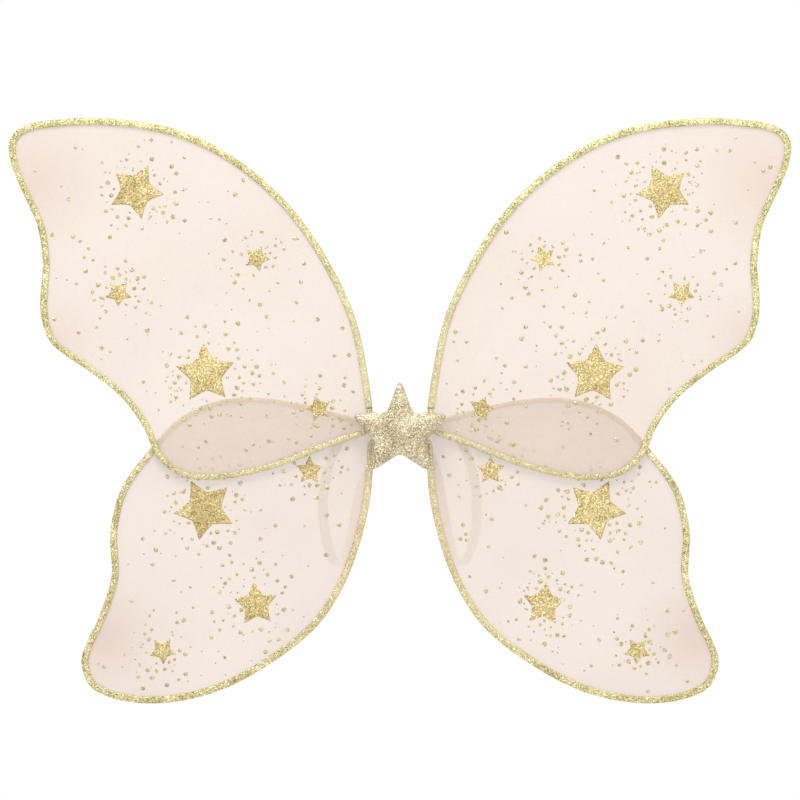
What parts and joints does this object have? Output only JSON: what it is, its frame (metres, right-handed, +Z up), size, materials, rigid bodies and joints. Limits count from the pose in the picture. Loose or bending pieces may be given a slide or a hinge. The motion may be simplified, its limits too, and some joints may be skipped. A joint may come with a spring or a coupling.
{
  "type": "fairy wings",
  "caption": "Dress-up fairy wings: wire-framed sheer mesh wings with glitter bindings on a padded star centre, with elastic arm loops.",
  "frame": {"origin": "middle of the back pad's flat face, which lies against the wearer's back, level with the star's middle", "axes": "+X to the right as seen from the star's side, along the wingspan; +Y from the star to the wearer's back; +Z up"},
  "size_m": [0.5202, 0.0855, 0.3892],
  "materials": {
    "edge_glitter": "gold glitter",
    "star_glitter": "champagne glitter",
    "sheer_mesh": "sheer, with glitter print",
    "elastic": "woven",
    "felt": "felt",
    "cloth_tape": "woven",
    "filling": "soft",
    "steel_wire": "drawn"
  },
  "bodies": {
    "centre": {"star_front_skin": "star_glitter", "star_back_skin": "star_glitter", "star_filling": "filling", "wire_bundle": "steel_wire", "centre_wrap": "cloth_tape", "back_pad_cover": "felt", "back_pad_foam": "filling"},
    "left_upper_wing": {"left_upper_wire_frame": "steel_wire", "left_upper_edge_binding": "edge_glitter", "left_upper_mesh_panel": "sheer_mesh"},
    "left_lower_wing": {"left_lower_wire_frame": "steel_wire", "left_lower_edge_binding": "edge_glitter", "left_lower_mesh_panel": "sheer_mesh"},
    "left_arm_loop": {"left_arm_loop": "elastic"},
    "right_upper_wing": {"right_upper_wire_frame": "steel_wire", "right_upper_edge_binding": "edge_glitter", "right_upper_mesh_panel": "sheer_mesh"},
    "right_lower_wing": {"right_lower_wire_frame": "steel_wire", "right_lower_edge_binding": "edge_glitter", "right_lower_mesh_panel": "sheer_mesh"},
    "right_arm_loop": {"right_arm_loop": "elastic"}
  },
  "joints": [
    {"name": "left_wing_fold", "type": "hinge", "parent": "centre", "child": "left_upper_wing", "pos_m": [-0.015, -0.0088, 0], "axis": [0, 0, -1], "range_deg": [-15, 35]},
    {"name": "left_lower_wing_spread", "type": "hinge", "parent": "left_upper_wing", "child": "left_lower_wing", "pos_m": [-0.015, -0.0088, 0], "axis": [0, 0, -1], "range_deg": [0, 10]},
    {"name": "left_arm_loop_swing", "type": "hinge", "parent": "centre", "child": "left_arm_loop", "pos_m": [-0.0117, -0.0026, 0], "axis": [0, 0, -1], "range_deg": [0, 33]},
    {"name": "right_wing_fold", "type": "hinge", "parent": "centre", "child": "right_upper_wing", "pos_m": [0.015, -0.0088, 0], "axis": [0, 0, 1], "range_deg": [-15, 35]},
    {"name": "right_lower_wing_spread", "type": "hinge", "parent": "right_upper_wing", "child": "right_lower_wing", "pos_m": [0.015, -0.0088, 0], "axis": [0, 0, 1], "range_deg": [0, 10]},
    {"name": "right_arm_loop_swing", "type": "hinge", "parent": "centre", "child": "right_arm_loop", "pos_m": [0.0117, -0.0026, 0], "axis": [0, 0, 1], "range_deg": [0, 33]}
  ]
}
